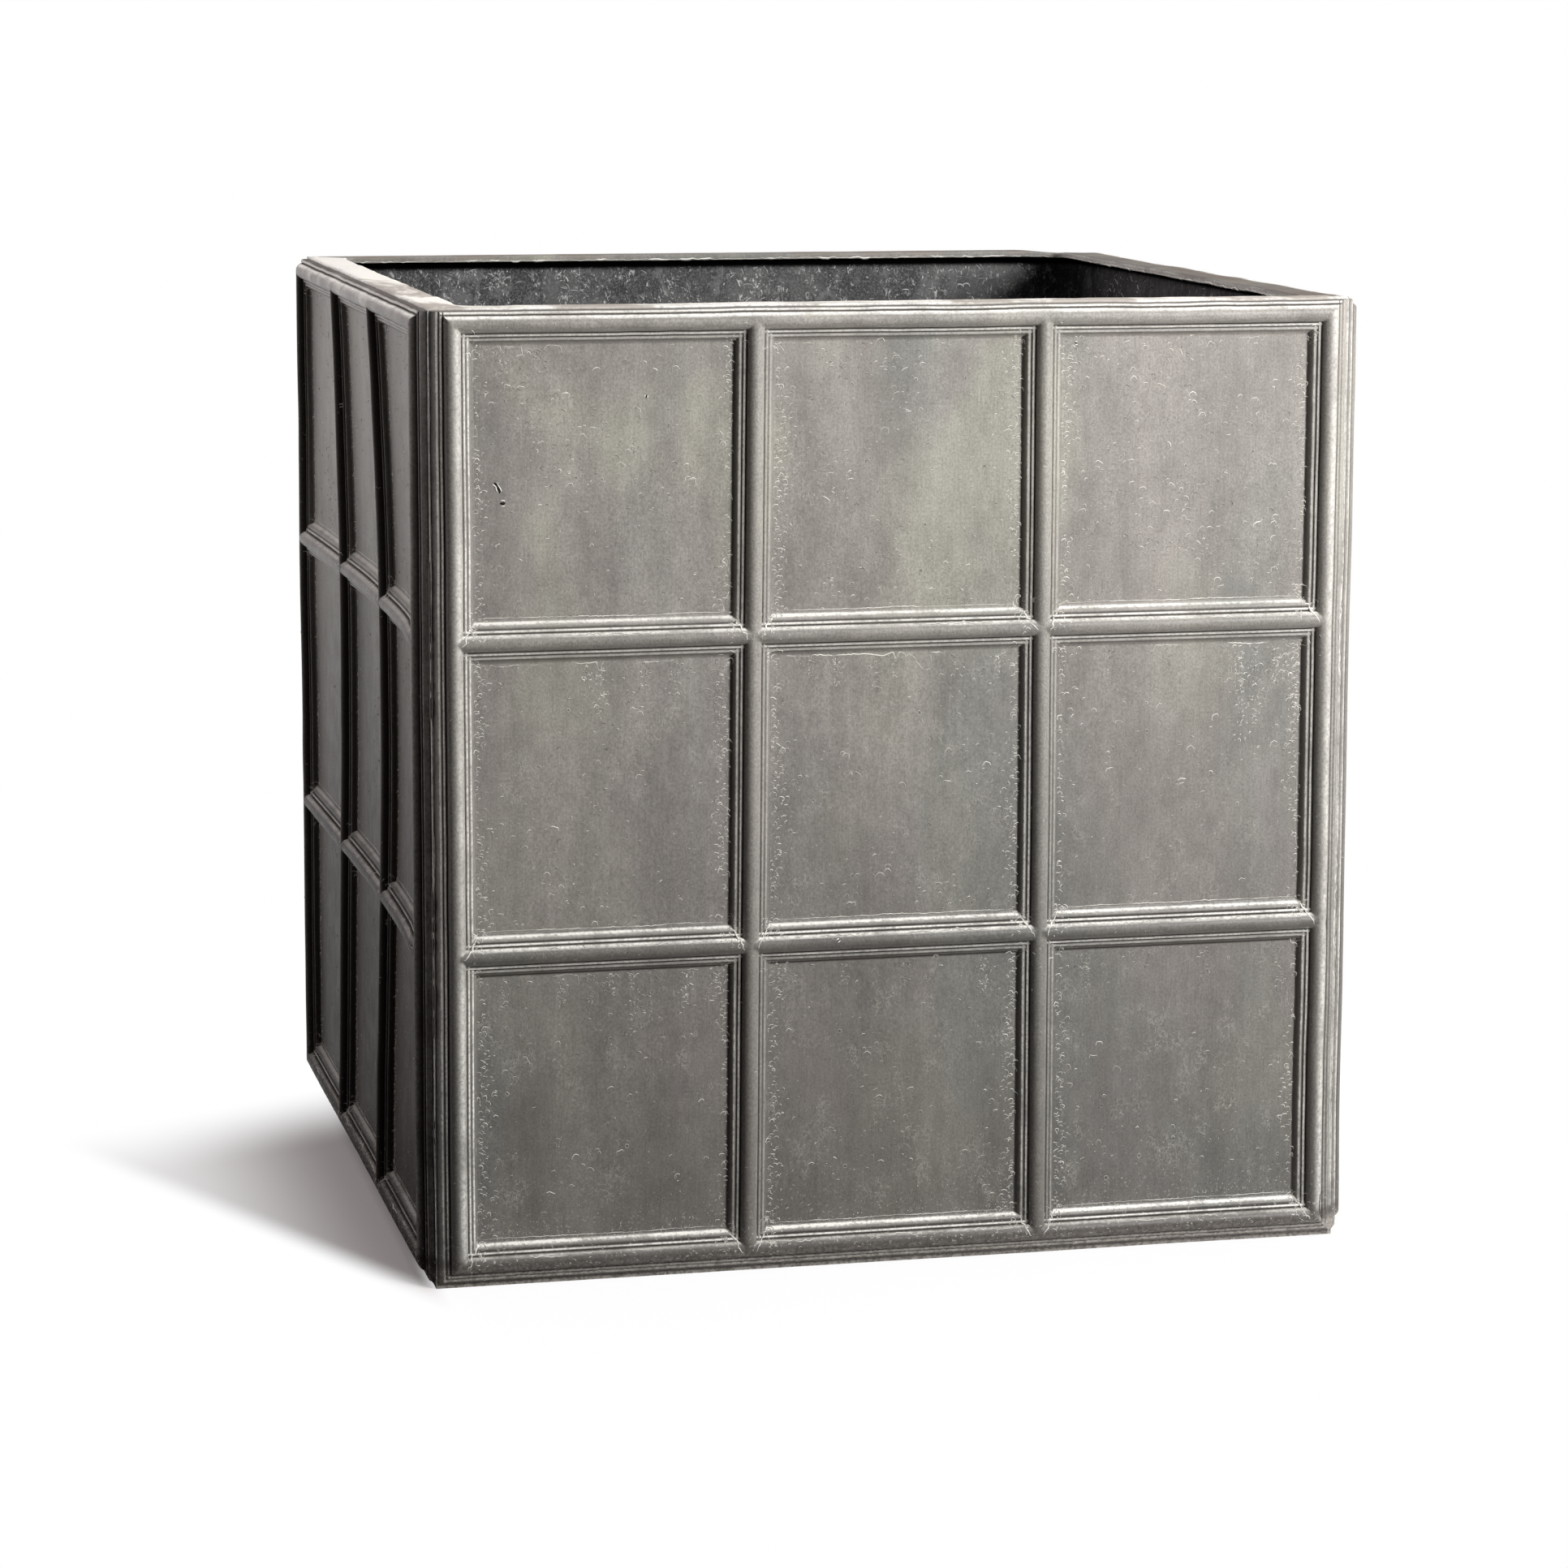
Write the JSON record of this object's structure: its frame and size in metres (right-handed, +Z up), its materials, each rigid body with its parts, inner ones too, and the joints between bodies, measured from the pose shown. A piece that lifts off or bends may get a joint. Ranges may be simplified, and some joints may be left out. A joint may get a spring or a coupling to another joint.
{
  "type": "box planter",
  "caption": "Square fibreglass floor planter with an open top, a turned-in rim, a drained floor and sides that carry a square grid of moulded ribs.",
  "frame": {"origin": "on the floor, under the middle of the box", "axes": "+Z up, -Y out of the front side, +X to the right of the front side"},
  "size_m": [0.61, 0.61, 0.612],
  "materials": {
    "patinated_shell": "faux lead, brushed, with pale worn edges",
    "inner_coat": "rough dark laminating resin"
  },
  "bodies": {
    "root": {"front_wall_panel": "patinated_shell", "right_wall_panel": "patinated_shell", "back_wall_panel": "patinated_shell", "left_wall_panel": "patinated_shell", "base_panel": "inner_coat", "corner_laminate_front_left": "inner_coat", "corner_laminate_front_right": "inner_coat", "corner_laminate_back_right": "inner_coat", "corner_laminate_back_left": "inner_coat", "base_laminate_front": "inner_coat", "base_laminate_right": "inner_coat", "base_laminate_back": "inner_coat", "base_laminate_left": "inner_coat", "rim_patch_front_left": "inner_coat", "rim_patch_front_right": "inner_coat", "rim_patch_back_right": "inner_coat", "rim_patch_back_left": "inner_coat"}
  },
  "joints": []
}
